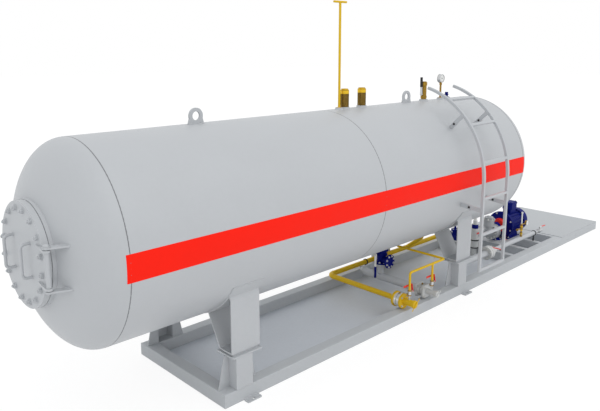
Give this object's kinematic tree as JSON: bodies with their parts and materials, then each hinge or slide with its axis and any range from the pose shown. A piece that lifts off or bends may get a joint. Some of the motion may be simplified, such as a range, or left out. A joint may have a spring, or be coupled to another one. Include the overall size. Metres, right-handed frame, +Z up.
{
  "type": "horizontal pressure tank",
  "caption": "Horizontal pressure tank on a long steel skid, with a hinged manhole cover, ladder, relief valves, filling pipework and a pump set.",
  "frame": {"origin": "middle of the skid's underside, on the floor", "axes": "+X along the skid towards the pump and deck end, +Y to the rear, +Z up"},
  "size_m": [8.7766, 1.83, 3.33],
  "materials": {
    "tank_paint": "light grey satin paint",
    "frame_paint": "light grey satin paint",
    "grey_paint": "silver grey paint",
    "yellow_paint": "yellow satin paint",
    "brass": "machined brass",
    "blue_paint": "deep blue gloss paint",
    "red_paint": "red gloss coating",
    "black_plastic": "black dipped grip",
    "white_paint": "white paint",
    "steel": "plain steel"
  },
  "bodies": {
    "skid_and_tank": {"anchor_lugs": "frame_paint", "angle_valve": "blue_paint", "balance_line": "yellow_paint", "ball_valve": "grey_paint", "beam_front": "frame_paint", "beam_rear": "frame_paint", "coupling_bell": "blue_paint", "coupling_guard": "red_paint", "cover_hinge": "tank_paint", "cross_members": "frame_paint", "crown_valve": "blue_paint", "deck_plate": "frame_paint", "drain_valve": "steel", "drop_valves": "steel", "end_beams": "frame_paint", "fan_cowl": "blue_paint", "fill_valve": "yellow_paint", "floor_plate": "frame_paint", "front_line": "frame_paint", "gauge_cluster": "brass", "head_left": "tank_paint", "head_right": "tank_paint", "ladder_brackets": "frame_paint", "ladder_rungs": "frame_paint", "ladder_stiles": "frame_paint", "legs": "frame_paint", "lifting_eyes": "tank_paint", "line_clamps": "black_plastic", "main_pipe": "yellow_paint", "manhole_ring": "tank_paint", "motor_body": "blue_paint", "pressure_gauge": "brass", "pump_base": "frame_paint", "pump_body": "grey_paint", "relief_valves": "brass", "saddles": "tank_paint", "shell_left": "tank_paint", "shell_right": "tank_paint", "suction_stack": "steel", "suction_valve": "blue_paint", "terminal_box": "blue_paint", "top_valve": "brass", "vapour_pipe": "frame_paint", "vapour_valve": "grey_paint", "vent_pipe": "yellow_paint"},
    "manhole_cover": {"manhole_cover": "tank_paint", "cover_handles": "tank_paint"},
    "fill_lever": {"fill_lever": "red_paint"},
    "vapour_lever": {"vapour_lever": "red_paint"},
    "top_lever": {"top_lever": "black_plastic"},
    "angle_lever": {"angle_lever": "white_paint"},
    "ball_lever": {"ball_lever": "red_paint"},
    "drain_lever": {"drain_lever": "red_paint"}
  },
  "joints": [
    {"name": "cover_swing", "type": "hinge", "parent": "skid_and_tank", "child": "manhole_cover", "pos_m": [-4.979, -0.44, 1.443], "axis": [0, 0, 1], "range_deg": [0, 105]},
    {"name": "fill_lever_turn", "type": "hinge", "parent": "skid_and_tank", "child": "fill_lever", "pos_m": [-1.223, -0.66, 0.32496], "axis": [-1, 0, 0], "range_deg": [0, 90]},
    {"name": "vapour_lever_turn", "type": "hinge", "parent": "skid_and_tank", "child": "vapour_lever", "pos_m": [-0.811, -0.66, 0.32496], "axis": [-1, 0, 0], "range_deg": [0, 90]},
    {"name": "top_lever_turn", "type": "hinge", "parent": "skid_and_tank", "child": "top_lever", "pos_m": [-0.228, 0, 2.32], "axis": [1, 0, 0], "range_deg": [0, 90]},
    {"name": "angle_lever_turn", "type": "hinge", "parent": "skid_and_tank", "child": "angle_lever", "pos_m": [-0.963, 0.05, 0.495], "axis": [1, 0, 0], "range_deg": [0, 90]},
    {"name": "ball_lever_turn", "type": "hinge", "parent": "skid_and_tank", "child": "ball_lever", "pos_m": [0.826, -0.43, 0.292], "axis": [0, 0, 1], "range_deg": [0, 90]},
    {"name": "drain_lever_turn", "type": "hinge", "parent": "skid_and_tank", "child": "drain_lever", "pos_m": [2.203, -0.43, 0.284], "axis": [0, 0, -1], "range_deg": [0, 90]}
  ]
}
